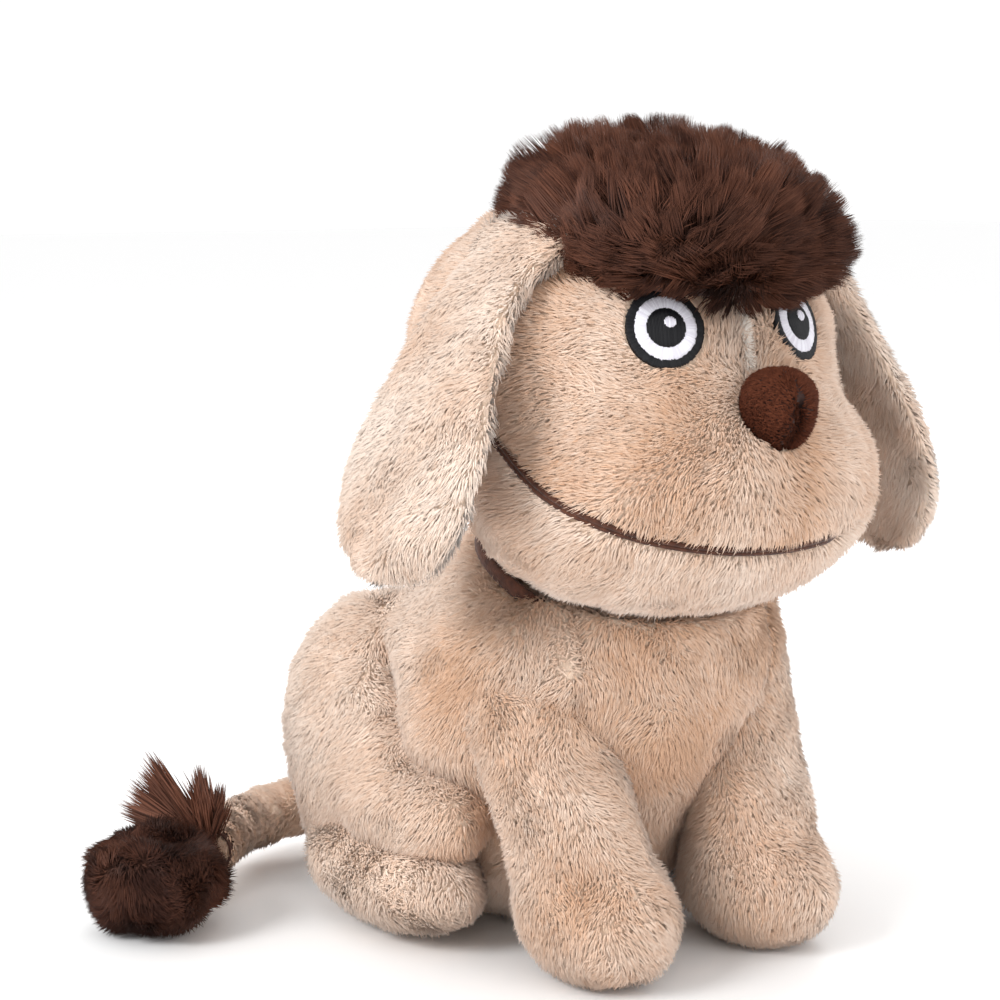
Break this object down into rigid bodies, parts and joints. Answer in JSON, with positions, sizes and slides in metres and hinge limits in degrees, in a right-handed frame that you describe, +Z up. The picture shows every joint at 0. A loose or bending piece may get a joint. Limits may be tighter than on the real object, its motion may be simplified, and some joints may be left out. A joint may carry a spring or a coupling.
{
  "type": "plush dog",
  "caption": "Sitting plush dog with a floppy-eared head, hair tuft, embroidered eyes and a tasselled tail; head, jaw, ears, legs and tail flex at their seams.",
  "frame": {"origin": "on the flat underside panel that the dog sits on, in the mirror plane, below the neck", "axes": "-Y is the way the dog faces, +X is the dog's left side, +Z is up"},
  "size_m": [0.1977, 0.1756, 0.203],
  "materials": {
    "plush_beige": "short pile plush, 3 to 4 mm, matt with a soft sheen",
    "plush_brown": "long straight pile, dark brown, slightly shiny",
    "felt_brown": "short velour, matt dark brown",
    "nose_brown": "short pile plush, reddish brown",
    "thread_black": "satin embroidery thread",
    "thread_white": "satin embroidery thread",
    "filling_white": "loose polyester fibre",
    "pouch_cloth": "plain woven cotton",
    "pellets": "loose plastic pellets",
    "binding_thread": "thread wound round the tassel"
  },
  "bodies": {
    "torso": {"base_panel": "plush_beige", "chest_panel": "plush_beige", "body_side_left": "plush_beige", "body_side_right": "plush_beige", "torso_stuffing": "filling_white", "bean_pouch": "pouch_cloth", "bean_filling": "pellets", "haunch_cover_left": "plush_beige", "haunch_cover_right": "plush_beige", "haunch_stuffing_left": "filling_white", "haunch_stuffing_right": "filling_white"},
    "neck": {"neck_collar": "felt_brown", "neck_cover": "plush_beige", "neck_stuffing": "filling_white"},
    "head": {"head_cover_left": "plush_beige", "head_cover_right": "plush_beige", "head_stuffing": "filling_white", "mouth_lining_upper": "felt_brown", "nose_cover": "nose_brown", "nose_stuffing": "filling_white", "tuft_backing": "plush_brown", "tuft_pile": "plush_brown", "eye_rim_left": "thread_black", "eye_white_left": "thread_white", "eye_pupil_left": "thread_black", "eye_glint_left": "thread_white", "eye_rim_right": "thread_black", "eye_white_right": "thread_white", "eye_pupil_right": "thread_black", "eye_glint_right": "thread_white"},
    "jaw": {"jaw_cover": "plush_beige", "jaw_stuffing": "filling_white", "mouth_lining_lower": "felt_brown"},
    "tail": {"tail_cover": "plush_beige", "tail_stuffing": "filling_white", "tassel_binding": "binding_thread", "tassel_fibres": "plush_brown"},
    "ear_left": {"ear_outer_panel_left": "plush_beige", "ear_inner_panel_left": "plush_beige", "ear_padding_left": "filling_white"},
    "foreleg_left": {"foreleg_cover_left": "plush_beige", "foreleg_stuffing_left": "filling_white"},
    "hind_foot_left": {"hind_foot_cover_left": "plush_beige", "hind_foot_stuffing_left": "filling_white"},
    "ear_right": {"ear_outer_panel_right": "plush_beige", "ear_inner_panel_right": "plush_beige", "ear_padding_right": "filling_white"},
    "foreleg_right": {"foreleg_cover_right": "plush_beige", "foreleg_stuffing_right": "filling_white"},
    "hind_foot_right": {"hind_foot_cover_right": "plush_beige", "hind_foot_stuffing_right": "filling_white"}
  },
  "joints": [
    {"name": "head_turn", "type": "hinge", "parent": "torso", "child": "neck", "pos_m": [0, -0.01, 0.1], "axis": [0, -0.4695, 0.8829], "range_deg": [-20, 20], "stiffness_Nm_per_rad": 0.4},
    {"name": "head_nod", "type": "hinge", "parent": "neck", "child": "head", "pos_m": [0, -0.01, 0.1], "axis": [1, 0, 0], "range_deg": [-6, 6], "stiffness_Nm_per_rad": 1},
    {"name": "jaw_open", "type": "hinge", "parent": "head", "child": "jaw", "pos_m": [0, -0.014, 0.1405], "axis": [1, 0, 0], "range_deg": [0, 6], "stiffness_Nm_per_rad": 0.15},
    {"name": "tail_swing", "type": "hinge", "parent": "torso", "child": "tail", "pos_m": [-0.008, 0.086, 0.019], "axis": [0, 0, -1], "range_deg": [0, 60], "stiffness_Nm_per_rad": 0.02},
    {"name": "ear_flap_left", "type": "hinge", "parent": "head", "child": "ear_left", "pos_m": [0.0435, -0.022, 0.1745], "axis": [0, -1, 0], "range_deg": [0, 35], "stiffness_Nm_per_rad": 0.06},
    {"name": "foreleg_swing_left", "type": "hinge", "parent": "torso", "child": "foreleg_left", "pos_m": [0.03, -0.014, 0.062], "axis": [-1, 0, 0], "range_deg": [0, 20], "stiffness_Nm_per_rad": 0.2},
    {"name": "hind_foot_splay_left", "type": "hinge", "parent": "torso", "child": "hind_foot_left", "pos_m": [0.041, 0.046, 0.012], "axis": [0, 0, 1], "range_deg": [0, 20], "stiffness_Nm_per_rad": 0.1},
    {"name": "ear_flap_right", "type": "hinge", "parent": "head", "child": "ear_right", "pos_m": [-0.0435, -0.022, 0.1745], "axis": [0, 1, 0], "range_deg": [0, 35], "stiffness_Nm_per_rad": 0.06},
    {"name": "foreleg_swing_right", "type": "hinge", "parent": "torso", "child": "foreleg_right", "pos_m": [-0.03, -0.014, 0.062], "axis": [-1, 0, 0], "range_deg": [0, 20], "stiffness_Nm_per_rad": 0.2},
    {"name": "hind_foot_splay_right", "type": "hinge", "parent": "torso", "child": "hind_foot_right", "pos_m": [-0.041, 0.046, 0.012], "axis": [0, 0, -1], "range_deg": [0, 20], "stiffness_Nm_per_rad": 0.1}
  ]
}
